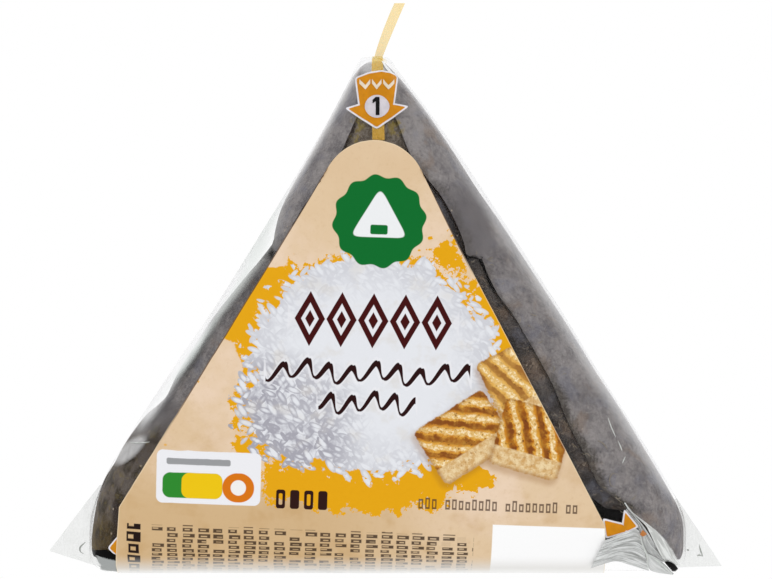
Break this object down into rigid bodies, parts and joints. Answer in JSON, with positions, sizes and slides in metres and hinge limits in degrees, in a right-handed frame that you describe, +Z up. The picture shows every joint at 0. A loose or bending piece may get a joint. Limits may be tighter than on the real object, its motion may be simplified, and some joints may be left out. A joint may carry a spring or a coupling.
{
  "type": "wrapped onigiri rice ball",
  "caption": "Triangular rice ball wrapped in seaweed and clear film, with a paper label on its front, a tear strip over its top and a film ear at each bottom corner.",
  "frame": {"origin": "on the table, at the middle of the flat underside that the pack stands on", "axes": "+Z up, +X to the right seen from the labelled front, front facing -Y"},
  "size_m": [0.1076, 0.0324, 0.0907],
  "materials": {
    "film": "clear glossy film over dark seaweed",
    "paper": "brown printed paper with a smooth coat",
    "tape": "clear yellow-orange tape"
  },
  "bodies": {
    "root": {"film_pack": "film", "label": "paper", "tear_strip": "tape"}
  },
  "joints": []
}
